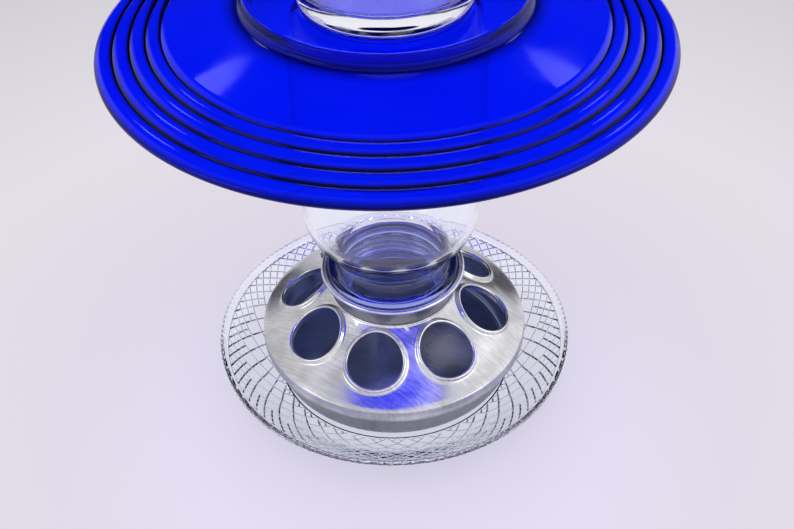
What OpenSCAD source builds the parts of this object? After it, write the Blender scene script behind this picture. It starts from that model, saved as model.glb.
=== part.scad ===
// Glass bird feeder on a table: a pressed glass plate carries a round galvanised trough,
// the trough's conical lid has feeding holes and a screw collar, a preserving jar stands mouth down
// in the collar, and an upturned plate with a small dish on it is the roof.
// Z is up, and the origin is the middle of the plate's foot, on the table.

/* [Base plate] */
// Diameter over the rim
plate_d = 216; // [204:1:240]
// Height of the rim above the table
plate_h = 26.5; // [23:0.5:32]
// Thickness of the glass in the well
plate_t = 4; // [3.2:0.2:4.8]
// Thickness of the glass at the rim
plate_rim_t = 2.6; // [2.2:0.2:3.2]
// Height of the foot ring below the well
plate_foot_h = 2.4; // [1.8:0.2:3.4]
// Distance of the foot ring in from the edge of the well
plate_foot_inset = 7.5; // [6:0.5:12]
// Radius of the curve from the well up to the wall
plate_curve_r = 12; // [8:1:16]
// Large diamonds round the plate
diamond_count = 40; // [32:1:44]
// Depth of the grooves between the diamonds
groove_depth = 1.1; // [0.6:0.1:1.3]

/* [Pan] */
// Height of the pan over its rolled rim
pan_h = 30.3; // [27:0.1:34]
// Radius of the corner between floor and wall
pan_corner_r = 8; // [5:0.5:11]
// Outer radius of the rolled rim
pan_curl_r = 2.75; // [2.2:0.05:3.4]

/* [Lid and collar] */
// Thickness of the galvanised sheet
sheet_t = 0.7; // [0.5:0.1:0.9]
// Slope of the lid's cone
lid_angle = 30.7; // [28:0.1:33]
// Height of the skirt below the edge of the cone
skirt_h = 7.2; // [5:0.2:9]
// Feeding holes round the lid
hole_count = 8; // [5:1:8]
// Clear diameter of a feeding hole
hole_d = 32; // [28:0.5:36]
// Radius of the rolled bead round a hole
hole_bead_r = 1.3; // [1:0.1:1.4]
// Least sheet left between the beads of two neighbouring holes
hole_land = 4.3; // [3:0.1:8]
// Least sheet left between a hole's bead and the collar
collar_land = 0.7; // [0.7:0.1:4]
// Sheet left between a hole's bead and the lid's edge
edge_land = 11.4; // [8:0.1:16]
// Direction of the first hole
hole_phase = -12; // [-22:1:22]
// Width of the ledge that carries the jar's lip
ledge_w = 11.7; // [8:0.1:14]
// Radius of the rolled rim of the collar
collar_curl_r = 1.6; // [1.2:0.1:2]

/* [Jar] */
// Height of the jar
jar_h = 184; // [165:1:200]
// Diameter of the jar's body
jar_d = 100; // [95:1:104]
// Thickness of the jar's wall
jar_wall = 3.2; // [2.4:0.2:4]
// Thickness of the jar's base
jar_base_t = 6; // [4:0.5:8]
// Diameter over the screw thread
jar_thread_d = 70; // [69:0.5:71]
// Height of the screw thread off the neck
thread_h = 1.6; // [1.2:0.1:2]
// How far the bead between thread and neck stands out beyond the thread
jar_bead_out = 3.7; // [3:0.1:4.5]
// Distance from the lip to the middle of the bead
jar_finish_h = 16; // [14:0.5:18]
// Distance from the lip to where the body is full width
jar_shoulder_h = 61.5; // [56:0.5:66]
// Radius of the shoulder
shoulder_r = 25; // [20:1:28]
// Slope of the shoulder's lower part from upright
shoulder_angle = 35; // [30:1:40]

/* [Roof plate] */
// Diameter over the rim
roof_d = 286; // [270:1:300]
// Thickness of the glass
roof_t = 4.5; // [3.6:0.1:5.4]
// Slope of the roof
roof_angle = 13.9; // [12:0.1:17]
// Inner diameter of the raised foot ring
roof_foot_d = 133; // [124:1:140]
// Height of the foot ring above the floor inside it
roof_foot_h = 8.3; // [6:0.1:10]
// Rounded bands round the rim
band_count = 4; // [2:1:4]
// Width of the outermost band
band_w = 9; // [7:0.1:10]
// How much narrower each next band is
band_step = 0.5; // [0:0.1:0.8]
// Depth of the grooves between the bands
band_depth = 1.1; // [0.6:0.1:1.4]

/* [Top dish] */
// Diameter of the dish above its heel
dish_d = 89; // [80:1:98]
// Height of the dish
dish_h = 50; // [40:1:60]
// Thickness of the dish's wall
dish_wall = 3.4; // [2.6:0.2:4.2]
// Thickness of the dish's base
dish_base_t = 8; // [6:0.5:10]
// How far the rim stands out beyond the heel
dish_flare = 3; // [0:0.5:6]

/* [Clearances] */
// Gap between a lifted part and its seat
seat_gap = 0.3; // [0.2:0.05:0.4]
// Gap between the lid's skirt and the pan's rolled rim
rim_fit = 0.5; // [0.4:0.1:0.8]
// Gap between the collar and the lid's lip
crimp_gap = 0.05; // [0.02:0.01:0.1]
// Gap between the jar's thread and the collar
thread_gap = 1; // [0.8:0.1:1.4]
// Gap between the jar's bead and the collar's rim
bead_gap = 0.6; // [0.4:0.1:1]
// Thickness of the clear adhesive beds
bond_t = 1; // [0.6:0.1:1.4]

/* [Hidden] */
$fn = 120;
clear_glass = [0.86, 0.88, 0.93, 0.45];
galvanised = [0.74, 0.75, 0.76];
overlap = 0.5;

// Collar and lid, from the jar's thread and bead outwards: collar, ring of holes, edge of the lid
neck_in_r = jar_thread_d / 2 + thread_gap;
neck_r = neck_in_r + sheet_t;
ledge_r = neck_r - ledge_w;
lip_in_r = neck_r + crimp_gap;
lip_h = 1.6;
bead_out_r = hole_d / 2 + 2 * hole_bead_r;
hole_circle_r = max((bead_out_r + hole_land / 2) / sin(180 / hole_count),
                    lip_in_r + sheet_t + (bead_out_r + collar_land) * cos(lid_angle));
lid_r = hole_circle_r + (bead_out_r + edge_land) * cos(lid_angle);
lid_edge_r = 1.6;
hem_t = 0.8;
hem_h = 2.4;
bead_reach = 6;

// Pan: its rolled rim fits in the lid's skirt
curl_end = -130;
pan_curl_x = lid_r - sheet_t - rim_fit - pan_curl_r;
pan_r = pan_curl_x - pan_curl_r + sheet_t;

// Base plate: four columns of the grid make one large diamond
plate_r = plate_d / 2;
well_margin = 0.5;
well_r = pan_r + well_margin;
well_z = plate_foot_h + plate_t;
columns = 4 * diamond_count;
rim_inset = 1.2;
rim_flute_w = 3.6;
flat_rows_w = 2;
foot_w = 5;
foot_draft = 1;
pattern_start_r = well_r - flat_rows_w;
pattern_end_r = plate_r - rim_flute_w;
fine_rows = 3;
coarse_rows = 7;
pattern_rows = 2 * fine_rows + coarse_rows;
flute_depth = 0.5;

// Heights: the cone rests on the pan's rolled rim, and the jar's lip on the collar's ledge
pan_curl_z = well_z + pan_h - pan_curl_r;
lid_edge_z = pan_curl_z + (pan_curl_r + seat_gap + sheet_t) / cos(lid_angle)
             - (lid_r - pan_curl_x) * tan(lid_angle);
ledge_z = cone_z(lip_in_r) - sheet_t / cos(lid_angle);
jar_lip_z = ledge_z + sheet_t + seat_gap;
collar_top_z = jar_lip_z + jar_finish_h;
flare_start_z = cone_z(lip_in_r + sheet_t) + lip_h;
flare_end_z = collar_top_z - 2 * collar_curl_r;

// Jar
jar_r = jar_d / 2;
finish_r = jar_thread_d / 2 - thread_h;
jar_bead_r = 1.9;
jar_bead_x = jar_thread_d / 2 + jar_bead_out - jar_bead_r;
collar_rim_r = jar_bead_x + jar_bead_r + bead_gap;
body_z = jar_lip_z + jar_shoulder_h;
jar_top_z = jar_lip_z + jar_h;
jar_heel_r = 9;
jar_ring_w = 8;
neck_curve_r = 10;
base_recess_r = jar_r - jar_heel_r - jar_ring_w;
base_recess_h = 2;

// Roof plate and dish
roof_r = roof_d / 2;
roof_under_z = jar_top_z + bond_t;
roof_floor_z = roof_under_z + roof_t;
roof_foot_r = roof_foot_d / 2;
roof_foot_w = 4.6;
roof_foot_fillet = 1.2;
roof_foot_draft = 0.4;
roof_crest_r = 1.7;
roof_shoulder_h = 1.8;
roof_edge_r = 1.95;
roof_edge_start = 60;
roof_curve_r = 16;
roof_curve_inset = 8;
roof_curve_start_r = roof_foot_r - roof_curve_inset;
bond_spread = 1.5;
dish_r = dish_d / 2;
dish_z = roof_floor_z + bond_t;
dish_foot_r = dish_r - 3;
dish_foot_w = 3;
dish_foot_h = 1;
dish_heel_r = 6;
dish_inner_r = 5;
dish_rim_r = dish_wall / 2;

// Height of the lid's outer face at radius r
function cone_z(r) = lid_edge_z + (lid_r - r) * tan(lid_angle);

// Points of an arc about [x, z] in a profile, from angle a to angle b
function arc(x, z, r, a, b, steps = 8) =
    [for (i = [0 : steps]) [x + r * cos(a + (b - a) * i / steps), z + r * sin(a + (b - a) * i / steps)]];

// Slope of the straight line that leaves a curve of radius r and ends dx out and dz up from the curve's start
function wall_angle(r, dx, dz) = atan2(dz - r, dx) + asin(r / norm([dx, dz - r]));

// Height above the well's level of a wall that starts with a curve of radius r and goes on straight
function wall_z(x, r, angle) =
    x <= 0 ? 0
    : x <= r * sin(angle) ? r - sqrt(r * r - x * x)
    : r * (1 - cos(angle)) + (x - r * sin(angle)) * tan(angle);

plate_under_angle = wall_angle(plate_curve_r + plate_t, plate_r - well_r, plate_h - plate_rim_t - plate_foot_h);
plate_top_angle = wall_angle(plate_curve_r, plate_r - rim_inset - well_r, plate_h - well_z);

// Radius of row j of the diamond pattern
function row_r(j) = pattern_start_r + (pattern_end_r - pattern_start_r) * j / pattern_rows;

// Whether a point of the grid lies in a groove: narrow rows halve the lattice of the wide ones
function in_groove(i, j) =
    (j <= fine_rows || j >= fine_rows + coarse_rows)
    ? (i + j) % 2 == 0
    : (i + j) % 4 == 2 || (i - j + 4 * pattern_rows) % 4 == 2;

// One ring of points at radius r and height z
function ring(r, z) = [for (i = [0 : columns - 1]) [r * cos(360 * i / columns), r * sin(360 * i / columns), z]];

function under_z(r) = plate_foot_h + wall_z(r - well_r, plate_curve_r + plate_t, plate_under_angle);
function top_z(r) = well_z + wall_z(r - well_r, plate_curve_r, plate_top_angle);

// One ring of the pattern, with its groove points raised into the glass
function pattern_ring(j) =
    let (r = row_r(j), angle = r > well_r ? plate_under_angle : 0)
    [for (i = [0 : columns - 1])
        let (depth = in_groove(i, j) ? groove_depth : 0, a = 360 * i / columns, x = r - depth * sin(angle))
        [x * cos(a), x * sin(a), under_z(r) + depth * cos(angle)]];

// The rim's outer edge, with a flute at every second column
function fluted_ring(r, z, depth) =
    [for (i = [0 : columns - 1])
        let (a = 360 * i / columns, x = r - (i % 2) * depth)
        [x * cos(a), x * sin(a), z]];

// Patterned outer part of the plate as one closed mesh, from its inner edge underneath round to its top
module patterned_wall(inner_r) {
    curve_steps = 4;
    curve_end_r = well_r + plate_curve_r * sin(plate_top_angle);
    rings = concat(
        [ring(inner_r, plate_foot_h)],
        [for (j = [0 : pattern_rows]) pattern_ring(j)],
        [fluted_ring(plate_r, under_z(plate_r), flute_depth)],
        [fluted_ring(plate_r, plate_h - rim_inset / 2, flute_depth)],
        [ring(plate_r - rim_inset, plate_h)],
        [for (k = [curve_steps : -1 : 0])
            let (r = well_r + (curve_end_r - well_r) * k / curve_steps) ring(r, top_z(r))],
        [ring(inner_r, well_z)]);
    count = len(rings);
    faces = [for (j = [0 : count - 1], i = [0 : columns - 1])
        let (k = (i + 1) % columns, m = (j + 1) % count,
             a = j * columns + i, b = j * columns + k, c = m * columns + k, d = m * columns + i)
        each (i - j + 1 + 4 * count) % 2 == 0 ? [[a, c, b], [a, d, c]] : [[a, d, b], [b, d, c]]];
    polyhedron([for (points = rings) each points], faces);
}

module base_plate() {
    join_r = pattern_start_r - overlap;
    foot_r = well_r - plate_foot_inset;
    color(clear_glass) union() {
        rotate_extrude() polygon([
            [0, plate_foot_h], [foot_r - foot_w, plate_foot_h],
            [foot_r - foot_w + foot_draft, 0], [foot_r - foot_draft, 0],
            [foot_r, plate_foot_h], [join_r, plate_foot_h], [join_r, well_z], [0, well_z]]);
        patterned_wall(join_r - overlap / 2);
    }
}

module feeder_pan() {
    corner_x = pan_r - pan_corner_r;
    corner_z = well_z + pan_corner_r;
    color(galvanised) rotate_extrude() polygon(concat(
        [[0, well_z]],
        arc(corner_x, corner_z, pan_corner_r, -90, 0),
        arc(pan_curl_x, pan_curl_z, pan_curl_r - sheet_t, 180, curl_end, 20),
        arc(pan_curl_x, pan_curl_z, pan_curl_r, curl_end, 180, 20),
        arc(corner_x, corner_z, pan_corner_r - sheet_t, 0, -90),
        [[0, well_z + sheet_t]]));
}

// The lid's sheet: lip round the collar, cone, rounded edge and skirt with a folded hem
module lid_sheet() {
    skirt_in_r = lid_r - sheet_t;
    skirt_z = lid_edge_z - skirt_h;
    edge_x = lid_r - lid_edge_r;
    edge_z = cone_z(edge_x) - lid_edge_r / cos(lid_angle);
    lip_r = lip_in_r + sheet_t;
    rotate_extrude() polygon(concat(
        [[lip_in_r, ledge_z], [lip_in_r, flare_start_z], [lip_r, flare_start_z], [lip_r, cone_z(lip_r)]],
        arc(edge_x, edge_z, lid_edge_r, 90 - lid_angle, 0),
        [[lid_r, skirt_z + hem_h], [lid_r + hem_t / 2, skirt_z + hem_h - hem_t / 2]],
        arc(lid_r + hem_t / 2, skirt_z + hem_t, hem_t / 2, 0, -90, 3),
        [[skirt_in_r + hem_t / 2, skirt_z + hem_t / 2], [skirt_in_r, skirt_z + hem_t]],
        arc(edge_x, edge_z, lid_edge_r - sheet_t, 0, 90 - lid_angle)));
}

// Places a child on the cone's outer face at the middle of each feeding hole
module at_holes() {
    for (i = [0 : hole_count - 1])
        rotate([0, 0, hole_phase + 360 * i / hole_count])
            translate([hole_circle_r, 0, cone_z(hole_circle_r)])
                rotate([0, lid_angle, 0])
                    children();
}

module feeder_lid() {
    bead_x = bead_out_r - hole_bead_r;
    bead_z = hole_bead_r - sheet_t;
    room_r = lid_r - lid_edge_r - sheet_t;
    room_z = lid_edge_z - skirt_h;
    color(galvanised) difference() {
        union() {
            difference() {
                lid_sheet();
                at_holes() cylinder(h = 2 * bead_reach, r = bead_x, center = true);
            }
            at_holes() {
                translate([0, 0, bead_z]) rotate_extrude() translate([bead_x, 0]) circle(hole_bead_r);
                translate([0, 0, bead_z - bead_reach]) difference() {
                    cylinder(h = bead_reach, r = bead_x + sheet_t / 2);
                    translate([0, 0, -overlap])
                        cylinder(h = bead_reach + 2 * overlap, r = bead_x - sheet_t / 2);
                }
            }
        }
        // The room under the cone, which trims the walls round the holes
        rotate_extrude() polygon([
            [0, room_z], [room_r, room_z], [room_r, cone_z(room_r) - sheet_t / cos(lid_angle)],
            [lip_in_r, ledge_z], [0, ledge_z]]);
    }
}

module jar_collar() {
    curl_x = collar_rim_r + collar_curl_r;
    curl_z = collar_top_z - collar_curl_r;
    color(galvanised) rotate_extrude() polygon(concat(
        [[ledge_r, ledge_z], [neck_r, ledge_z], [neck_r, flare_start_z]],
        [[collar_rim_r + sheet_t, flare_end_z]],
        arc(curl_x, curl_z, collar_curl_r - sheet_t, 180, curl_end, 16),
        arc(curl_x, curl_z, collar_curl_r, curl_end, 180, 16),
        [[collar_rim_r, flare_end_z], [neck_in_r, flare_start_z]],
        [[neck_in_r, ledge_z + sheet_t], [ledge_r, ledge_z + sheet_t]]));
}

// Half of the jar's outline, from the body down to the neck, moved in by a wall thickness of t
function jar_flank(t) =
    let (shoulder_x = jar_r - shoulder_r,
         fall = shoulder_x + shoulder_r * cos(shoulder_angle) - finish_r,
         neck_z = body_z - shoulder_r * sin(shoulder_angle) - fall / tan(shoulder_angle)
                  - neck_curve_r * tan(shoulder_angle / 2))
    concat(arc(shoulder_x, body_z, shoulder_r - t, 0, -shoulder_angle, 6),
           arc(finish_r + neck_curve_r, neck_z, neck_curve_r + t, 180 - shoulder_angle, 180, 6));

module glass_jar() {
    lip_r = jar_wall / 2;
    lip_x = finish_r - lip_r;
    inner_heel_r = jar_heel_r - jar_wall;
    heel_z = jar_top_z - jar_heel_r;
    inner_heel_z = jar_top_z - jar_base_t - base_recess_h - inner_heel_r;
    bead_z = jar_lip_z + jar_finish_h;
    flank = jar_flank(0);
    inner = jar_flank(jar_wall);
    color(clear_glass) union() {
        rotate_extrude() polygon(concat(
            [[0, jar_top_z - base_recess_h], [base_recess_r, jar_top_z - base_recess_h]],
            [[base_recess_r + base_recess_h, jar_top_z]],
            arc(jar_r - jar_heel_r, heel_z, jar_heel_r, 90, 0),
            flank,
            arc(lip_x, jar_lip_z + lip_r, lip_r, 0, -180),
            [for (i = [len(inner) - 1 : -1 : 0]) inner[i]],
            arc(jar_r - jar_heel_r, inner_heel_z, inner_heel_r, 0, 90),
            [[0, inner_heel_z + inner_heel_r]]));
        translate([0, 0, bead_z]) rotate_extrude() translate([jar_bead_x, 0]) circle(jar_bead_r);
        translate([0, 0, bead_z - jar_bead_r]) difference() {
            cylinder(h = 2 * jar_bead_r, r = jar_bead_x);
            translate([0, 0, -overlap])
                cylinder(h = 2 * (jar_bead_r + overlap), r = finish_r - jar_wall / 2);
        }
    }
}

// A bed of clear adhesive between two pieces of glass, its edge squeezed round
module bond(r, hole_r, z) {
    edge = bond_t / 2;
    color([0.9, 0.9, 0.95, 0.6]) translate([0, 0, z]) rotate_extrude() polygon(concat(
        hole_r > 0 ? arc(hole_r + edge, edge, edge, 270, 90) : [[0, 0], [0, bond_t]],
        arc(r - edge, edge, edge, 90, -90)));
}

module jar_bond() {
    bond(jar_r - jar_heel_r + bond_spread, base_recess_r, jar_top_z);
}

// Outer face of the roof at radius r, before its bands
function roof_z(r) = roof_floor_z + roof_shoulder_h - (r - roof_foot_r - roof_foot_w) * tan(roof_angle);

// Radius at which band i starts, counted from the rim inwards
function band_r(i) = roof_r - i * band_w + band_step * i * (i - 1) / 2;

// One rounded band, from its inner groove to its outer one
function band(i) =
    let (inner = band_r(i + 1), outer = band_r(i), steps = 6)
    [for (k = [0 : steps])
        let (r = inner + (outer - inner) * k / steps)
        [r, roof_z(r) - band_depth * (1 - sin(180 * k / steps))]];

module roof_plate() {
    foot_out_r = roof_foot_r + roof_foot_w;
    step_r = band_r(band_count) - band_depth;
    crest_z = roof_floor_z + roof_foot_h - roof_crest_r;
    edge_x = roof_r - roof_edge_r;
    edge_z = roof_z(roof_r) - roof_edge_r - band_depth / 2;
    under_angle = wall_angle(roof_curve_r, edge_x - roof_edge_r * sin(roof_angle) - roof_curve_start_r,
                             roof_under_z - edge_z + roof_edge_r * cos(roof_angle));
    curve_steps = 6;
    color([0.02, 0.06, 0.75, 0.8]) rotate_extrude() polygon(concat(
        [[0, roof_floor_z], [roof_foot_r - roof_foot_fillet, roof_floor_z]],
        [[roof_foot_r, roof_floor_z + roof_foot_fillet]],
        arc(roof_foot_r + roof_foot_draft + roof_crest_r, crest_z, roof_crest_r, 180, 0),
        [[foot_out_r - roof_foot_draft, roof_z(foot_out_r) + roof_foot_fillet]],
        [[foot_out_r + roof_foot_fillet, roof_z(foot_out_r + roof_foot_fillet)]],
        [[step_r, roof_z(step_r)]],
        [for (i = [band_count - 1 : -1 : 1]) each band(i)],
        [for (p = band(0)) if (p[0] < edge_x) p],
        arc(edge_x, edge_z, roof_edge_r, roof_edge_start, -90 - roof_angle),
        [for (k = [curve_steps : -1 : 0])
            let (x = roof_curve_r * sin(under_angle) * k / curve_steps)
            [roof_curve_start_r + x, roof_under_z - wall_z(x, roof_curve_r, under_angle)]],
        [[0, roof_under_z]]));
}

module dish_bond() {
    bond(dish_foot_r + bond_spread, 0, roof_floor_z);
}

module top_dish() {
    heel_z = dish_z + dish_heel_r;
    rim_x = dish_r + dish_flare - dish_rim_r;
    rim_z = dish_z + dish_h - dish_rim_r;
    floor_z = dish_z + dish_base_t;
    foot_in_r = dish_foot_r - dish_foot_w;
    color(clear_glass) rotate_extrude() polygon(concat(
        [[0, dish_z + dish_foot_h], [foot_in_r - dish_foot_h, dish_z + dish_foot_h], [foot_in_r, dish_z]],
        [for (a = [0 : 15 : 90]) [dish_foot_r + (dish_r - dish_foot_r) * sin(a), heel_z - dish_heel_r * cos(a)]],
        arc(rim_x, rim_z, dish_rim_r, 0, 180),
        arc(dish_r - dish_wall - dish_inner_r, floor_z + dish_inner_r, dish_inner_r, 0, -90, 6),
        [[0, floor_z]]));
}

base_plate();
feeder_pan();
feeder_lid();
jar_collar();
glass_jar();
jar_bond();
roof_plate();
dish_bond();
top_dish();
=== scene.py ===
import math

import bpy
from mathutils import Matrix, Vector


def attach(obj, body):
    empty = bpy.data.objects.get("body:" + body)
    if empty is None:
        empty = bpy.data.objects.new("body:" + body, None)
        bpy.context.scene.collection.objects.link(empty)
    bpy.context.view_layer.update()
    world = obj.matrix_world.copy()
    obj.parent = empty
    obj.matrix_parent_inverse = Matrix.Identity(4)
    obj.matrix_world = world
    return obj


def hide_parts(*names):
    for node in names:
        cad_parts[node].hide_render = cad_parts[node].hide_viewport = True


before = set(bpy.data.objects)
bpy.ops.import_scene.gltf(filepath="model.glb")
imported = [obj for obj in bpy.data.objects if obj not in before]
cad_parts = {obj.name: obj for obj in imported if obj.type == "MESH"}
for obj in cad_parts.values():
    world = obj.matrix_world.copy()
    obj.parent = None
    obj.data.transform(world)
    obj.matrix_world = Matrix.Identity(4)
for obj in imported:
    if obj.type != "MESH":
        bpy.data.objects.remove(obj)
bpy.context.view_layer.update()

MM = 0.001
TURN = 2 * math.pi


# ---------------------------------------------------------------- heights and radii, as in the construction

# base plate: its rim, the underside of its well, the well's floor and where the floor ends
PLATE_R, PLATE_H = 108.0, 26.5
FOOT_H, WELL_Z, WELL_R = 2.4, 6.4, 74.518
# pan: outer radius, sheet, and its rolled rim as radius, height and roll
PAN_R, SHEET = 74.018, 0.7
PAN_CURL = (76.068, 33.95, 2.75)
# lid: the cone's lower edge and slope, the skirt's lower edge, the ring of holes and its turn in degrees
LID_R, LID_EDGE_Z, LID_ANGLE = 80.018, 35.966, 30.7
SKIRT_Z = LID_EDGE_Z - 7.2
HOLES, HOLE_RING, HOLE_R, HOLE_TURN = 8, 54.222, 16.0, -12
# collar: the ledge that the jar's lip rests on, the neck, and the rolled rim
LEDGE_Z, LEDGE_R, NECK_R = 60.843, 25.0, 36.7
COLLAR_TOP, COLLAR_RIM, COLLAR_CURL = 77.843, 39.3, 1.6
# jar, upside down: lip below and base on top, the body's lower end, the shoulder and the neck
LIP_Z, JAR_TOP, JAR_R, WALL = 61.843, 245.843, 50.0, 3.2
BODY_Z, SHOULDER_R, SHOULDER_ANGLE, FINISH_R = 123.343, 25.0, 35.0, 33.4
# roof plate: rim, underside, floor, slope, and the raised foot ring's inner radius, width and height
ROOF_R, ROOF_UNDER, ROOF_FLOOR, ROOF_ANGLE = 143.0, 246.843, 251.343, 13.9
ROOF_FOOT_R, ROOF_FOOT_W, ROOF_FOOT_H = 66.5, 4.6, 8.3
# dish: underside, radius at the base, height, wall and base
DISH_Z, DISH_R, DISH_H, DISH_WALL, DISH_BASE = 252.343, 44.5, 50.0, 3.4, 8.0


# ---------------------------------------------------------------- shaping

def deselect():
    bpy.ops.object.select_all(action="DESELECT")


def edit(piece):
    """Opens a piece in edit mode, with nothing else selected."""
    deselect()
    bpy.context.view_layer.objects.active = piece
    piece.select_set(True)
    bpy.ops.object.mode_set(mode="EDIT")


def done(piece, smooth=32):
    """Back to object mode: place into the mesh, smooth all but the real edges."""
    if bpy.context.mode != "OBJECT":
        bpy.ops.object.mode_set(mode="OBJECT")
    deselect()
    bpy.context.view_layer.objects.active = piece
    piece.select_set(True)
    bpy.ops.object.transform_apply(location=True, rotation=True, scale=True)
    if smooth:
        bpy.ops.object.shade_smooth_by_angle(angle=math.radians(smooth))
    return piece


def clean():
    """Merges doubled points and turns the faces outwards, in edit mode."""
    bpy.ops.mesh.select_all(action="SELECT")
    bpy.ops.mesh.remove_doubles(threshold=3e-6)
    bpy.ops.mesh.normals_make_consistent(inside=False)


def pick(piece, test):
    """Selects the vertices that pass the test, in edit mode, and the edges and faces they span."""
    bpy.ops.object.mode_set(mode="OBJECT")
    mesh = piece.data
    chosen = [test(v.co) for v in mesh.vertices]
    for v, yes in zip(mesh.vertices, chosen):
        v.select = yes
    for e in mesh.edges:
        e.select = all(chosen[i] for i in e.vertices)
    for f in mesh.polygons:
        f.select = all(chosen[i] for i in f.vertices)
    bpy.ops.object.mode_set(mode="EDIT")


def pick_rim(piece, test):
    """Selects the open edges whose ends pass the test, in edit mode."""
    bpy.ops.mesh.select_all(action="DESELECT")
    bpy.ops.mesh.select_non_manifold(extend=False, use_wire=False, use_boundary=True, use_multi_face=False,
                                     use_non_contiguous=False, use_verts=False)
    bpy.ops.object.mode_set(mode="OBJECT")
    mesh = piece.data
    for v in mesh.vertices:
        v.select = v.select and test(v.co)
    for e in mesh.edges:
        e.select = e.select and all(mesh.vertices[i].select for i in e.vertices)
    bpy.ops.object.mode_set(mode="EDIT")


def arc(x, z, r, a, b, steps=8):
    """Points of an arc about (x, z) in an outline, from angle a to angle b."""
    return [(x + r * math.cos(math.radians(a + (b - a) * i / steps)),
             z + r * math.sin(math.radians(a + (b - a) * i / steps))) for i in range(steps + 1)]


def turned(name, outline, steps=192):
    """A round piece: one point is extruded along the outline, and the line is spun about the axis."""
    deselect()
    x, z = outline[0]
    bpy.ops.mesh.primitive_plane_add(size=MM, location=(x * MM, 0, z * MM))
    piece = bpy.context.object
    piece.name = piece.data.name = name
    bpy.ops.object.mode_set(mode="EDIT")
    bpy.ops.mesh.merge(type="CENTER")
    for nx, nz in outline[1:]:
        if math.hypot(nx - x, nz - z) > 0.004:
            bpy.ops.mesh.extrude_vertices_move(
                TRANSFORM_OT_translate={"value": ((nx - x) * MM, 0, (nz - z) * MM)})
            x, z = nx, nz
    bpy.ops.mesh.select_all(action="SELECT")
    bpy.ops.mesh.spin(steps=steps, angle=TURN, center=(0, 0, 0), axis=(0, 0, 1))
    clean()
    return piece


def mark(piece, name, amount):
    """Writes an attribute for a finish to read, such as 1 at the bottom of a groove and 0 on the flats."""
    values = piece.data.attributes.new(name, "FLOAT", "POINT")
    for v, value in zip(piece.data.vertices, values.data):
        value.value = min(1.0, max(0.0, amount(v.co / MM)))


def joined(name, *parts):
    """Joins meshes into one piece."""
    deselect()
    for part in parts:
        part.select_set(True)
    bpy.context.view_layer.objects.active = parts[0]
    bpy.ops.object.join()
    parts[0].name = parts[0].data.name = name
    return parts[0]


# ---------------------------------------------------------------- finishes

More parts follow.
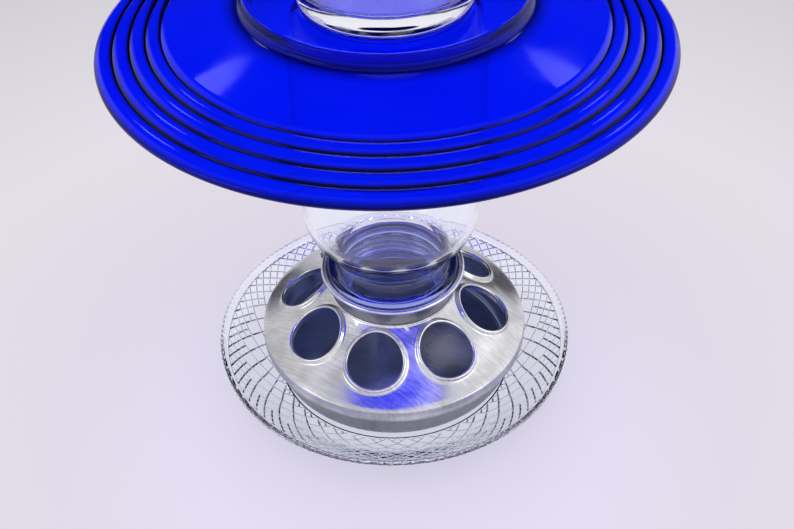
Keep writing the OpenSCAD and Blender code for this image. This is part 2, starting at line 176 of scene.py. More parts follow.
class Finish:
    """A material's node tree with short ways to add nodes."""

    def __init__(self, name):
        self.material = bpy.data.materials.new(name)
        self.material.use_nodes = True
        self.tree = self.material.node_tree
        self.shader = self.tree.nodes["Principled BSDF"]
        self.output = self.tree.nodes["Material Output"]
        self.place = self.node("ShaderNodeTexCoord").outputs["Object"]

    def node(self, kind, **values):
        n = self.tree.nodes.new(kind)
        for key, value in values.items():
            setattr(n, key, value)
        return n

    def link(self, source, target):
        self.tree.links.new(source, target)
        return target

    def set(self, **values):
        """Sets the shader's own sockets."""
        for key, value in values.items():
            self.shader.inputs[key.replace("_", " ")].default_value = value

    def noise(self, scale, detail=3.0, stretch=(1, 1, 1), turn=(0, 0, 0), distortion=0.0):
        """Noise on the piece's own coordinates, turned and then stretched."""
        turned_place = self.node("ShaderNodeMapping")
        turned_place.inputs["Rotation"].default_value = turn
        self.link(self.place, turned_place.inputs["Vector"])
        mapping = self.node("ShaderNodeMapping")
        mapping.inputs["Scale"].default_value = stretch
        self.link(turned_place.outputs["Vector"], mapping.inputs["Vector"])
        n = self.node("ShaderNodeTexNoise")
        n.inputs["Scale"].default_value = scale
        n.inputs["Detail"].default_value = detail
        n.inputs["Distortion"].default_value = distortion
        self.link(mapping.outputs["Vector"], n.inputs["Vector"])
        return n.outputs["Fac"]

    def spread(self, source, low, high, to_low=0.0, to_high=1.0):
        """Maps one range of values to another."""
        n = self.node("ShaderNodeMapRange")
        for key, value in (("From Min", low), ("From Max", high), ("To Min", to_low), ("To Max", to_high)):
            n.inputs[key].default_value = value
        self.link(source, n.inputs["Value"])
        return n.outputs["Result"]

    def math(self, operation, a, b):
        n = self.node("ShaderNodeMath")
        n.operation = operation
        for socket, value in zip(n.inputs, (a, b)):
            if isinstance(value, (int, float)):
                socket.default_value = value
            else:
                self.link(value, socket)
        return n.outputs[0]

    def shades(self, source, *stops):
        """A ramp: each stop is a place and a colour."""
        n = self.node("ShaderNodeValToRGB")
        ramp = n.color_ramp
        while len(ramp.elements) < len(stops):
            ramp.elements.new(0.5)
        for element, (at, colour) in zip(ramp.elements, stops):
            element.position = at
            element.color = (*colour, 1)
        self.link(source, n.inputs["Fac"])
        return n.outputs["Color"]

    def marked(self, name):
        """The piece's own attribute."""
        n = self.node("ShaderNodeAttribute")
        n.attribute_name = name
        return n.outputs["Fac"]

    def away_from(self, x, y, reach):
        """0 near a place on a floor and 1 out of its reach, in millimetres; its edge is soft and wavy."""
        centred = self.node("ShaderNodeMapping")
        centred.inputs["Location"].default_value = (-x * MM, -y * MM, 0)
        centred.inputs["Scale"].default_value = (1, 1, 0)
        self.link(self.place, centred.inputs["Vector"])
        distance = self.node("ShaderNodeVectorMath", operation="LENGTH")
        self.link(centred.outputs["Vector"], distance.inputs[0])
        waves = self.spread(self.noise(40, 1), 0.3, 0.7, -0.003, 0.003)
        wavy = self.math("ADD", distance.outputs["Value"], waves)
        return self.spread(wavy, (reach - 12) * MM, (reach + 6) * MM)

    def tinted(self, colour, mask, tint):
        """The colour multiplied by a tint where the mask is 1."""
        n = self.node("ShaderNodeMix")
        n.data_type, n.blend_type = "RGBA", "MULTIPLY"
        self.link(mask, n.inputs["Factor"])
        self.link(colour, n.inputs[6])
        n.inputs[7].default_value = (*tint, 1)
        return n.outputs[2]

    def bump(self, source, strength, distance):
        n = self.node("ShaderNodeBump")
        n.inputs["Strength"].default_value = strength
        n.inputs["Distance"].default_value = distance
        self.link(source, n.inputs["Height"])
        self.link(n.outputs["Normal"], self.shader.inputs["Normal"])

    def let_lamps_through(self, colour):
        """Glass throws a tinted shadow: rays to the lamps pass straight through."""
        clear = self.node("ShaderNodeBsdfTransparent")
        clear.inputs["Color"].default_value = (*colour, 1)
        path = self.node("ShaderNodeLightPath")
        mix = self.node("ShaderNodeMixShader")
        self.link(path.outputs["Is Shadow Ray"], mix.inputs["Fac"])
        self.link(self.shader.outputs["BSDF"], mix.inputs[1])
        self.link(clear.outputs["BSDF"], mix.inputs[2])
        self.link(mix.outputs["Shader"], self.output.inputs["Surface"])


def clear_glass(name, tint, waviness, lamp_tint, grooves=None, stipple=0.0):
    """Clear glass with the faint waviness and colour drift of a mould. Where the groove attribute is set, a
    painted tint
    is laid on: painted shade in pressed grooves, or painted blue light. A stippled base is frosted."""
    f = Finish(name)
    f.set(Transmission_Weight=1.0, IOR=1.5, Metallic=0.0)
    colour = f.shades(f.noise(14, 2), (0.35, tint), (0.65, tuple(min(1.0, c * 1.02) for c in tint)))
    if grooves:
        # painted tint where the groove attribute is set: painted shade in the plate's grooves, painted blue
        # light on the jar's bead
        colour = f.tinted(colour, f.spread(f.marked("groove"), 0.2, 0.85), grooves)
    f.link(colour, f.shader.inputs["Base Color"])
    rough = f.spread(f.noise(60, 3), 0.4, 0.8, 0.0, 0.03)
    if stipple:
        patches = f.spread(f.noise(110, 2, distortion=0.6), 0.42, 0.58, 0.1, 1.0)
        frosted = f.math("MULTIPLY", f.marked("stipple"), patches)
        rough = f.math("ADD", rough, f.math("MULTIPLY", frosted, stipple))
    f.link(rough, f.shader.inputs["Roughness"])
    f.bump(f.noise(45, 2, distortion=0.4), waviness, 0.0004)
    f.let_lamps_through(lamp_tint)
    return f.material


def cobalt_glass():
    """Deep blue glass with a blue gloss. Its grooves and the thick glass round its foot ring are darkened with
    painted shade.
    """
    f = Finish("cobalt_glass")
    f.set(Transmission_Weight=1.0, IOR=1.5, Specular_IOR_Level=0.3, Specular_Tint=(0.12, 0.14, 1.0, 1))
    colour = f.shades(f.noise(9, 3), (0.3, (0.0, 0.004, 0.97)), (0.7, (0.0, 0.012, 1.0)))
    # painted shade: the groove attribute darkens the base colour towards black
    f.link(f.tinted(colour, f.marked("groove"), (0.0, 0.0, 0.0)), f.shader.inputs["Base Color"])
    f.link(f.spread(f.noise(50, 3), 0.35, 0.7, 0.04, 0.13), f.shader.inputs["Roughness"])
    f.bump(f.noise(30, 2, distortion=0.5), 0.12, 0.0005)
    f.let_lamps_through((0.38, 0.42, 0.97))
    return f.material


def galvanised(name, dark, mid, light, smooth, outside=None, inside=None, lit_scuffed_patch=None, skirt=0.0, metal=0.92):
    """Zinc-coated sheet: soft clouds, fine straight rolling lines and a few scuffs. The outside of a wall can
    be darker by painted shade, and rougher; a lid's skirt can be darker and rougher than the rest. The inside
    can take painted blue light and shade, left off at a rougher, scuffed patch that so reads as painted light:
    x, y, reach."""
    f = Finish(name)
    f.set(Metallic=metal)
    clouds = f.noise(32, 4, distortion=0.8)
    lines = f.noise(60, 3, stretch=(1, 16, 4), turn=(0, 0, 0.6))
    scuffs = f.noise(260, 2, stretch=(1, 3, 1), turn=(0, 0, -0.7))
    tone = f.math("ADD", f.math("MULTIPLY", clouds, 0.68), f.math("MULTIPLY", lines, 0.32))
    colour = f.shades(tone, (0.34, dark), (0.5, mid), (0.66, light))
    rough = f.math("ADD", f.spread(clouds, 0.35, 0.68, smooth, smooth + 0.12),
                   f.spread(lines, 0.35, 0.7, 0.0, 0.05))
    if inside:
        # painted blue light and shade: the inside is tinted bluer and darker
        inside_shade = f.marked("inside")
        if lit_scuffed_patch:
            # near the scuffed patch the painted shade is left off, a painted pool of light; the patch is
            # rougher too
            off_lit_patch = f.away_from(*lit_scuffed_patch)
            inside_shade = f.math("MULTIPLY", inside_shade, off_lit_patch)
            rough = f.math("ADD", rough, f.spread(off_lit_patch, 0.0, 1.0, 0.2, 0.0))
        colour = f.tinted(colour, inside_shade, inside)
    # painted shade: the outside of a wall is tinted darker
    if outside:
        wall = f.marked("outside")
        colour = f.tinted(colour, wall, outside)
        rough = f.math("ADD", rough, f.math("MULTIPLY", wall, 0.22))
    if skirt:
        height = f.node("ShaderNodeSeparateXYZ")
        f.link(f.place, height.inputs["Vector"])
        below = f.spread(height.outputs["Z"], LID_EDGE_Z * MM, (LID_EDGE_Z - 1.5) * MM)
        rough = f.math("ADD", rough, f.math("MULTIPLY", below, skirt))
        colour = f.tinted(colour, below, (0.72, 0.72, 0.74))
    f.link(colour, f.shader.inputs["Base Color"])
    f.link(rough, f.shader.inputs["Roughness"])
    f.bump(f.math("ADD", f.math("MULTIPLY", lines, 0.5), f.math("MULTIPLY", scuffs, 0.25)), 0.025, 0.0001)
    return f.material


def adhesive():
    """Set silicone: clear, a little cloudy."""
    f = Finish("clear_adhesive")
    f.set(Transmission_Weight=1.0, IOR=1.42)
    f.link(f.shades(f.noise(120, 3), (0.4, (0.88, 0.89, 0.94)), (0.6, (0.94, 0.94, 0.97))),
           f.shader.inputs["Base Color"])
    f.link(f.spread(f.noise(200, 2), 0.3, 0.7, 0.03, 0.12), f.shader.inputs["Roughness"])
    f.let_lamps_through((0.8, 0.8, 0.88))
    return f.material


GLASS = (0.95, 0.955, 0.98)
FINISHES = {
    # the pressed glass's groove tint is painted shade
    "pressed_glass": clear_glass("pressed_glass", (0.94, 0.95, 0.995), 0.1, (0.86, 0.87, 0.95),
                                 grooves=(0.52, 0.57, 0.75)),
    # the jar glass's tint is painted blue light on the bead at its collar
    "jar_glass": clear_glass("jar_glass", GLASS, 0.2, (0.92, 0.92, 0.96), grooves=(0.12, 0.17, 0.55)),
    "dish_glass": clear_glass("dish_glass", GLASS, 0.12, (0.92, 0.92, 0.96), stipple=0.2),
    "cobalt_glass": cobalt_glass(),
    "galvanised_steel": galvanised("galvanised_lid", (0.47, 0.47, 0.50), (0.66, 0.66, 0.68), (0.94, 0.93, 0.94),
                                   0.10, skirt=0.22),
    # the pan's tints are painted: blue light and shade inside, left off at a scuffed patch as a painted pool of
    # light, and shade outside
    "galvanised_pan": galvanised("galvanised_pan", (0.58, 0.58, 0.62), (0.76, 0.76, 0.8), (0.95, 0.95, 0.97),
                                 0.10, outside=(0.45, 0.45, 0.49), inside=(0.3, 0.37, 0.6), lit_scuffed_patch=(34, -4, 20),
                                 metal=0.6),
    # the collar's tints are painted: shade on its outer wall, blue light and shade inside
    "galvanised_collar": galvanised("galvanised_collar", (0.55, 0.55, 0.6), (0.68, 0.68, 0.73),
                                    (0.82, 0.82, 0.86), 0.12, outside=(0.42, 0.42, 0.46),
                                    inside=(0.4, 0.48, 0.9)),
    "clear_adhesive": adhesive(),
}


def finished(piece, slot, body, *nodes, finish=None):
    """Gives a piece its finish and its place in the frame."""
    piece.data.materials.clear()
    piece.data.materials.append(FINISHES[finish or slot])
    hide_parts(*nodes)
    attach(piece, body)
    return piece


def cone_z(r):
    """Height of the lid's cone as constructed."""
    return LID_EDGE_Z + (LID_R - r) * math.tan(math.radians(LID_ANGLE))


# ---------------------------------------------------------------- base plate

def wall_angle(r, dx, dz):
    """Slope in degrees of a wall that starts level with a curve of radius r and ends at (dx, dz)."""
    return math.degrees(math.atan2(dz - r, dx) + math.asin(r / math.hypot(dx, dz - r)))


def wall_z(x, r, angle):
    """Height of a wall that starts with a curve of radius r and goes on straight."""
    a = math.radians(angle)
    if x <= 0:
        return 0.0
    if x <= r * math.sin(a):
        return r - math.sqrt(r * r - x * x)
    return r * (1 - math.cos(a)) + (x - r * math.sin(a)) * math.tan(a)


CURVE_R, PLATE_T, RIM_T, RIM_INSET = 12.0, 4.0, 2.6, 1.2
UNDER_ANGLE = wall_angle(CURVE_R + PLATE_T, PLATE_R - WELL_R, PLATE_H - RIM_T - FOOT_H)
TOP_ANGLE = wall_angle(CURVE_R, PLATE_R - RIM_INSET - WELL_R, PLATE_H - WELL_Z)


def under_z(r):
    """Height of the plate's underside."""
    return FOOT_H + wall_z(r - WELL_R, CURVE_R + PLATE_T, UNDER_ANGLE)


def top_z(r):
    """Height of the plate's upper face."""
    return WELL_Z + wall_z(r - WELL_R, CURVE_R, TOP_ANGLE)


PATTERN_R, PATTERN_END, ROWS, COLUMNS = 72.518, 104.4, 13, 160
ROW = (PATTERN_END - PATTERN_R) / ROWS
# the grooves' depth and half their width, and the lines of points round the rim with their beads' height
GROOVE, GROOVE_HALF = 0.55, 0.55
RIM_LINES, RIM_BEAD = 320, 0.3


def under_point(r, depth):
    """A point of the underside at radius r, raised into the glass by depth."""
    slope = math.atan2(under_z(r + 0.2) - under_z(r - 0.2), 0.4)
    return r - depth * math.sin(slope), under_z(r) + depth * math.cos(slope)


def diamonds():
    """The pressed pattern: a lattice of diamonds drawn flat, a unit to each column and row, and wrapped
    round the plate's underside. Each diamond is then inset and pushed out, which leaves the grooves."""
    deselect()
    bpy.ops.mesh.primitive_plane_add(size=2 * math.sqrt(2), location=(0, 0, 0))
    lattice = bpy.context.object
    lattice.rotation_euler.z = math.pi / 4
    bpy.ops.object.transform_apply(rotation=True)
    edit(lattice)
    bpy.ops.mesh.select_all(action="SELECT")
    bpy.ops.mesh.duplicate_move(TRANSFORM_OT_translate={"value": (2, 2, 0)})
    bpy.ops.object.mode_set(mode="OBJECT")
    for step, count in (((4, 0, 0), COLUMNS // 4), ((0, 4, 0), 5)):
        array = lattice.modifiers.new("repeat", "ARRAY")
        array.use_relative_offset, array.use_constant_offset = False, True
        array.constant_offset_displace = step
        array.count = count
        bpy.ops.object.modifier_apply(modifier=array.name)
    edit(lattice)
    bpy.ops.mesh.select_all(action="SELECT")
    bpy.ops.mesh.remove_doubles(threshold=0.001)
    bpy.ops.mesh.subdivide(number_cuts=1)
    # whole diamonds in the wide rows, small ones along the pattern's edges
    pick(lattice, lambda co: 1 < co.y < 9 and round(co.x + co.y) % 4 == 0 and round(co.y) % 2 == 0)
    bpy.ops.mesh.dissolve_verts()
    for row, side in ((0, -1), (ROWS, 1)):
        bpy.ops.mesh.select_all(action="SELECT")
        bpy.ops.mesh.bisect(plane_co=(0, row, 0), plane_no=(0, side, 0), clear_outer=True)
    bpy.ops.object.mode_set(mode="OBJECT")
    for v in lattice.data.vertices:
        x, z = under_point(PATTERN_R + ROW * v.co.y, GROOVE)
        angle = TURN * v.co.x / COLUMNS
        v.co = Vector((x * math.cos(angle), x * math.sin(angle), z)) * MM
    edit(lattice)
    clean()
    # outwards is down on the underside
    bpy.ops.object.mode_set(mode="OBJECT")
    if lattice.data.polygons[0].normal.z > 0:
        edit(lattice)
        bpy.ops.mesh.select_all(action="SELECT")
        bpy.ops.mesh.flip_normals()
        bpy.ops.object.mode_set(mode="OBJECT")
    edit(lattice)
    bpy.ops.mesh.select_all(action="SELECT")
    bpy.ops.mesh.select_mode(type="FACE")
    bpy.ops.mesh.inset(thickness=GROOVE_HALF * MM, depth=GROOVE * MM, use_individual=True, use_even_offset=True)
    bpy.ops.mesh.select_mode(type="VERT")
    bpy.ops.object.mode_set(mode="OBJECT")
    return lattice


def base_plate():
    foot = WELL_R - 7.5
    inner_edge, outer_edge = under_point(PATTERN_R, GROOVE), under_point(PATTERN_END, GROOVE)
    bottom = turned("foot", [(0, FOOT_H), (foot - 5.3, FOOT_H), (foot - 4.8, FOOT_H - 0.3), (foot - 4.1, 0.25),
                             (foot - 3.8, 0), (foot - 1.2, 0), (foot - 0.9, 0.25), (foot - 0.2, FOOT_H - 0.3),
                             (foot + 0.3, FOOT_H), (PATTERN_R - 1, FOOT_H), inner_edge], 160)
    done(bottom, 0)
    curve = [(r, top_z(r)) for r in (WELL_R + 32 * k / 15 for k in range(16))]
    curve = [p for p in curve if p[0] < PLATE_R - 1.6]
    rim = [(PLATE_R - RIM_INSET - 0.25, PLATE_H - 0.06), (PLATE_R - 0.7, PLATE_H - 0.1),
           (PLATE_R - 0.2, PLATE_H - 0.55), (PLATE_R, PLATE_H - 1.1), (PLATE_R - 0.1, PLATE_H - 1.9),
           (PLATE_R - 0.9, under_z(PLATE_R) + 0.25), (PLATE_R - 2.2, under_z(PLATE_R - 2.2)),
           (PATTERN_END + 0.5, under_z(PATTERN_END + 0.5)), outer_edge]
    top = turned("well", [(0, WELL_Z), (30, WELL_Z), (60, WELL_Z)] + curve + rim, RIM_LINES)
    bpy.ops.object.mode_set(mode="OBJECT")
    # the rim's beads: every second line of points steps back
    for v in top.data.vertices:
        r = math.hypot(v.co.x, v.co.y)
        if r > (PLATE_R - 1.0) * MM or (r > (PATTERN_END + 0.2) * MM and v.co.z < (PLATE_H - 2.2) * MM):
            line = round(math.atan2(v.co.y, v.co.x) / TURN * RIM_LINES)
            if line % 2:
                v.co *= 1 - RIM_BEAD * MM / r
    done(top, 0)
    plate = joined("base_plate_glass", bottom, top, diamonds())
    edit(plate)
    middle = (PATTERN_R + PATTERN_END) / 2 * MM
    for side in (-1, 1):
        pick_rim(plate, lambda co: side * (math.hypot(co.x, co.y) - middle) > 0)
        bpy.ops.mesh.bridge_edge_loops()
    clean()
    done(plate, 20)

    def depth(co):
        r = math.hypot(co.x, co.y)
        into = (co.z - under_z(r)) * math.cos(math.radians(UNDER_ANGLE)) / GROOVE
        return into if PATTERN_R + 0.3 < r < PATTERN_END and into < 1.3 else 0

    # the groove attribute places the painted shade in the plate's grooves
    mark(plate, "groove", depth)
    return finished(plate, "pressed_glass", "stand", "base_plate")


# ---------------------------------------------------------------- pan, lid and collar

def feeder_pan():
    corner = 8.0
    x, z, r = PAN_CURL
    corner_x, corner_z = PAN_R - corner, WELL_Z + corner
    outline = [(0, WELL_Z), (20, WELL_Z), (45, WELL_Z)] + arc(corner_x, corner_z, corner, -90, 0, 10)
    outline += arc(x, z, r - SHEET, 180, -130, 20) + arc(x, z, r, -130, 180, 26)
    outline += arc(corner_x, corner_z, corner - SHEET, 0, -90, 10)
    outline += [(45, WELL_Z + SHEET), (20, WELL_Z + SHEET), (0, WELL_Z + SHEET)]
    pan = turned("feeder_pan_sheet", outline, 200)
    done(pan, 40)
    # the outside and inside attributes place the painted shade and the painted blue light
    mark(pan, "outside", lambda co: 1.0 if math.hypot(co.x, co.y) > PAN_R - SHEET / 2 else 0.0)
    mark(pan, "inside", lambda co: 0.0 if math.hypot(co.x, co.y) > PAN_R - SHEET / 2 else 1.0)
    return finished(pan, "galvanised_steel", "stand", "feeder_pan", finish="galvanised_pan")


def lid_z(r):
    """The lid's upper face: a cone that sags a little between its lip and its rim."""
    return cone_z(r) - LID_SAG * math.sin(math.pi * min(1, max(0, (LID_R - r) / (LID_R - LIP_R))))


def drawn_out(piece, old, new):
    """Extrudes the selected ring and moves each of its points from its old place to the new one."""
    bpy.ops.mesh.extrude_region_move(TRANSFORM_OT_translate={"value": (0, 0, 0)})
    bpy.ops.object.mode_set(mode="OBJECT")
    for v in piece.data.vertices:
        if v.select:
            nearest = min(range(len(old)), key=lambda k: (v.co - old[k]).length_squared)
            v.co = new[nearest]
    bpy.ops.object.mode_set(mode="EDIT")
    return new


def hole_sector():
    """An eighth of the lid's cone round one hole: a circle drawn out ring by ring into the rolled bead,
    its foot and the cone, as far as the sector's edge."""
    tilt = math.radians(LID_ANGLE)
    centre = Vector((HOLE_RING + 0.3, 0, lid_z(HOLE_RING + 0.3)))
    out = Vector((math.sin(tilt), 0, math.cos(tilt)))
    down = Vector((math.cos(tilt), 0, -math.sin(tilt)))
    across = Vector((0, 1, 0))
    count = 64

    def ring(r, h, least):
        """Points at a distance r from the hole's middle and h above the cone; no nearer the axis than least."""
        points = []
        for k in range(count):
            a = TURN * k / count
            p = centre + down * math.cos(a) * (r + 0.3) + across * math.sin(a) * r
            pr, pa = max(least, math.hypot(p.x, p.y)), math.atan2(p.y, p.x)
            q = Vector((pr * math.cos(pa), pr * math.sin(pa), lid_z(pr)))
            points.append((q + out * h) * MM)
        return points

    section = [(HOLE_R + 0.9, -2.6), (HOLE_R + 0.75, -1.2), (HOLE_R + 0.3, -0.35), (HOLE_R + 0.02, 0.4),
               (HOLE_R - 0.02, 0.9), (HOLE_R + 0.14, 1.4), (HOLE_R + 0.5, 1.8), (HOLE_R + 1.0, 1.98),
               (HOLE_R + 1.5, 1.88), (HOLE_R + 1.9, 1.55), (HOLE_R + 2.15, 1.1), (HOLE_R + 2.35, 0.65),
               (HOLE_R + 2.65, 0.28), (HOLE_R + 3.1, 0.06)]
    rings = [ring(r, h, LIP_R + 0.3 + 0.05 * (len(section) - n)) for n, (r, h) in enumerate(section)]

    half = math.pi / HOLES
    outer, inner = EDGE_START[0], LIP_R + 0.25
    edge = [(outer, half * k / 12) for k in range(12)]
    edge += [(outer + (inner - outer) * k / 16, half) for k in range(16)]
    edge += [(inner, half - 2 * half * k / 8) for k in range(8)]
    edge += [(inner + (outer - inner) * k / 16, -half) for k in range(16)]
    edge += [(outer, -half + half * k / 12) for k in range(12)]
    last = [(math.hypot(p.x, p.y) / MM, math.atan2(p.y, p.x)) for p in ring(HOLE_R + 3.5, 0, LIP_R + 0.3)]
    for share in (0, 0.12, 0.3, 0.5, 0.75, 1):
        points = []
        for (pr, pa), (er, ea) in zip(last, edge):
            r, a = pr + (er - pr) * share, pa + (ea - pa) * share
            points.append(Vector((r * math.cos(a), r * math.sin(a), lid_z(r))) * MM)
        rings.append(points)

    deselect()
    bpy.ops.mesh.primitive_circle_add(vertices=count, radius=HOLE_R * MM, location=centre * MM,
                                      rotation=(0, tilt, 0))
    sector = bpy.context.object
    bpy.ops.object.transform_apply(location=True, rotation=True)

    def turn(v):
        away = v.co / MM - centre
        return math.atan2(away.dot(across), away.dot(down)) % TURN

    start = sorted(sector.data.vertices, key=turn)
    if start[-1].co.y > start[0].co.y - 1e-9 and abs(start[-1].co.y) < 1e-9:
        start = start[-1:] + start[:-1]
    for v, p in zip(start, rings[0]):
        v.co = p
    edit(sector)
    bpy.ops.mesh.select_all(action="SELECT")
    old = rings[0]
    for new in rings[1:]:
        old = drawn_out(sector, old, new)
    bpy.ops.mesh.select_all(action="SELECT")
    bpy.ops.mesh.spin(steps=HOLES - 1, dupli=True, angle=TURN * (HOLES - 1) / HOLES, center=(0, 0, 0),
                      axis=(0, 0, 1))
    clean()
    bpy.ops.object.mode_set(mode="OBJECT")
    return sector


def drawn_on(piece, start, rings):
    """Extrudes the open edge at a given radius and height through more rings about the axis."""
    r, z = start
    if piece.mode != "EDIT":
        edit(piece)
    near = 0.06 * MM
    pick_rim(piece, lambda co: abs(math.hypot(co.x, co.y) - r * MM) < near and abs(co.z - z * MM) < near)
    for nr, nz in rings:
        bpy.ops.mesh.extrude_region_move(TRANSFORM_OT_translate={"value": (0, 0, (nz - z) * MM)})
        bpy.ops.transform.resize(value=(nr / r, nr / r, 1), center_override=(0, 0, 0))
        r, z = nr, nz


LIP_R, EDGE_R, LID_SAG, LID_SHEET = 37.45, 0.9, 1.1, 0.6
EDGE_X = LID_R - EDGE_R
EDGE_Z = cone_z(EDGE_X) - EDGE_R / math.cos(math.radians(LID_ANGLE))
EDGE_START = (EDGE_X + EDGE_R * math.sin(math.radians(LID_ANGLE)),
              EDGE_Z + EDGE_R * math.cos(math.radians(LID_ANGLE)))


def feeder_lid():
    lid = hole_sector()
    rolled = arc(EDGE_X, EDGE_Z, EDGE_R, 90 - LID_ANGLE, 0, 6)[1:]
    rolled += [(LID_R, SKIRT_Z + 2.8), (LID_R + 0.15, SKIRT_Z + 2.5), (LID_R + 0.35, SKIRT_Z + 2.2),
               (LID_R + 0.38, SKIRT_Z + 0.6), (LID_R + 0.2, SKIRT_Z + 0.1), (LID_R - 0.15, SKIRT_Z)]
    drawn_on(lid, EDGE_START, rolled)
    lip = (LIP_R + 0.25, cone_z(LIP_R + 0.25))
    drawn_on(lid, lip, [(LIP_R, lip[1] + 0.35), (LIP_R, lip[1] + 1.4), (LIP_R - 0.25, lip[1] + 1.62),
                        (LIP_R - 0.5, lip[1] + 1.6)])
    clean()
    bpy.ops.object.mode_set(mode="OBJECT")
    top = max(lid.data.polygons, key=lambda f: abs(f.normal.z) * f.area)
    if top.normal.z < 0:
        edit(lid)
        bpy.ops.mesh.select_all(action="SELECT")
        bpy.ops.mesh.flip_normals()
        bpy.ops.object.mode_set(mode="OBJECT")
    lid.rotation_euler.z = math.radians(HOLE_TURN)
    lid.name = lid.data.name = "feeder_lid_sheet"
    done(lid, 0)
    wall = lid.modifiers.new("sheet", "SOLIDIFY")
    wall.thickness, wall.offset = LID_SHEET * MM, -1
    bpy.ops.object.modifier_apply(modifier=wall.name)
    done(lid, 50)
    return finished(lid, "galvanised_steel", "lid", "feeder_lid")


def jar_collar():
    x, z, r = COLLAR_RIM + COLLAR_CURL, COLLAR_TOP - COLLAR_CURL, COLLAR_CURL
    flare = cone_z(LIP_R) + 1.6
    end = COLLAR_TOP - 2 * COLLAR_CURL
    ledge = [(LEDGE_R + 0.5, LEDGE_Z + SHEET), (LEDGE_R + 0.2, LEDGE_Z + 0.65), (LEDGE_R, LEDGE_Z + 0.35)]
    outline = [ledge[-1], (LEDGE_R + 0.2, LEDGE_Z + 0.05), (LEDGE_R + 0.5, LEDGE_Z),
               (NECK_R - 0.6, LEDGE_Z), (NECK_R - 0.1, LEDGE_Z + 0.2), (NECK_R, LEDGE_Z + 0.8),
               (NECK_R, flare), (NECK_R + 0.15, flare + 0.9), (COLLAR_RIM + SHEET - 0.1, end - 0.6)]
    outline += arc(x, z, r - SHEET, 180, -130, 16) + arc(x, z, r, -130, 180, 22)
    outline += [(COLLAR_RIM - 0.1, end - 0.6), (NECK_R - SHEET + 0.15, flare + 0.9), (NECK_R - SHEET, flare),
                (NECK_R - SHEET, LEDGE_Z + 1.2), (NECK_R - SHEET - 0.4, LEDGE_Z + 0.78)]
    collar = turned("jar_collar_sheet", outline + ledge, 180)
    done(collar, 45)

    def outside(co):
        wall = NECK_R - SHEET / 2 + 0.296 * max(0.0, co.z - flare)
        return 1.0 if math.hypot(co.x, co.y) > wall and co.z < end + 0.2 else 0.0

    # the outside and inside attributes place the painted shade and the painted blue light
    mark(collar, "outside", outside)
    mark(collar, "inside", lambda co: 0.0 if outside(co) or co.z > COLLAR_TOP - 1.2 else 1.0)
    return finished(collar, "galvanised_steel", "lid", "jar_collar", finish="galvanised_collar")


# ---------------------------------------------------------------- jar

def jar_flank(t):
    """The jar's outline from the body down to the neck, moved in by a wall of t."""
    a = math.radians(SHOULDER_ANGLE)
    x = JAR_R - SHOULDER_R
    fall = x + SHOULDER_R * math.cos(a) - FINISH_R
    neck_z = BODY_Z - SHOULDER_R * math.sin(a) - fall / math.tan(a) - 10 * math.tan(a / 2)
    return (arc(x, BODY_Z, SHOULDER_R - t, 0, -SHOULDER_ANGLE, 12)
            + arc(FINISH_R + 10, neck_z, 10 + t, 180 - SHOULDER_ANGLE, 180, 8))


THREAD_R, THREAD_PITCH, THREAD_TURNS, THREAD_Z = 1.3, 6.2, 1.35, LIP_Z + 4.2


def glass_jar():
    bead_z, bead_r, bead_x = COLLAR_TOP, 1.9, 36.8
    heel = 9.0
    lip = WALL / 2
    inner_heel = heel - WALL
    inner_heel_z = JAR_TOP - 8 - inner_heel
    outline = [(0, JAR_TOP - 1.6), (12, JAR_TOP - 1.7), (31, JAR_TOP - 2), (33, JAR_TOP - 1.9),
               (34.6, JAR_TOP - 0.5), (35.6, JAR_TOP)]
    outline += arc(JAR_R - heel, JAR_TOP - heel, heel, 90, 0, 12)
    outline += [(JAR_R - 0.15, 215), (JAR_R - 0.2, 180), (JAR_R - 0.15, 150)]
    outline += jar_flank(0)
    outline += [(FINISH_R, bead_z + bead_r + 0.6), (FINISH_R + 0.9, bead_z + bead_r + 0.15)]
    outline += arc(bead_x, bead_z, bead_r, 90, -90, 10)
    outline += [(FINISH_R + 0.9, bead_z - bead_r - 0.15), (FINISH_R, bead_z - bead_r - 0.6)]
    outline += arc(FINISH_R - lip, LIP_Z + lip, lip, 0, -180, 8)
    outline += list(reversed(jar_flank(WALL))) + [(JAR_R - WALL - 0.1, 150), (JAR_R - WALL - 0.15, 215)]
    outline += arc(JAR_R - heel, inner_heel_z, inner_heel, 0, 90, 8) + [(0, inner_heel_z + inner_heel)]
    jar = turned("glass_jar_body", outline, 192)
    done(jar, 0)
    # the screw thread: a small rounded tongue run round the neck
    deselect()
    bpy.ops.mesh.primitive_circle_add(vertices=10, radius=THREAD_R * MM, rotation=(math.pi / 2, 0, 0),
                                      location=((FINISH_R + 0.1) * MM, 0, THREAD_Z * MM))
    thread = bpy.context.object
    bpy.ops.object.transform_apply(location=True, rotation=True)
    screw = thread.modifiers.new("run", "SCREW")
    screw.axis, screw.angle, screw.screw_offset = "Z", TURN * THREAD_TURNS, THREAD_PITCH * MM
    screw.steps = screw.render_steps = 130
    bpy.ops.object.modifier_apply(modifier=screw.name)
    edit(thread)
    bpy.ops.mesh.select_all(action="DESELECT")
    bpy.ops.mesh.select_non_manifold(extend=False, use_wire=False, use_boundary=True, use_multi_face=False,
                                     use_non_contiguous=False, use_verts=False)
    bpy.ops.mesh.edge_face_add()
    clean()
    done(thread, 0)
    jar = joined("glass_jar_body", jar, thread)
    done(jar, 40)

    def bead(co):
        """The thick bead at the collar, which gets painted blue light standing in for the roof plate's blue."""
        return 1.0 if abs(co.z - bead_z) < bead_r + 0.2 and math.hypot(co.x, co.y) > FINISH_R + 0.5 else 0.0

    # painted blue light on the bead, carried by the groove attribute
    mark(jar, "groove", bead)
    return finished(jar, "jar_glass", "jar", "glass_jar")


# ---------------------------------------------------------------- roof plate and dish

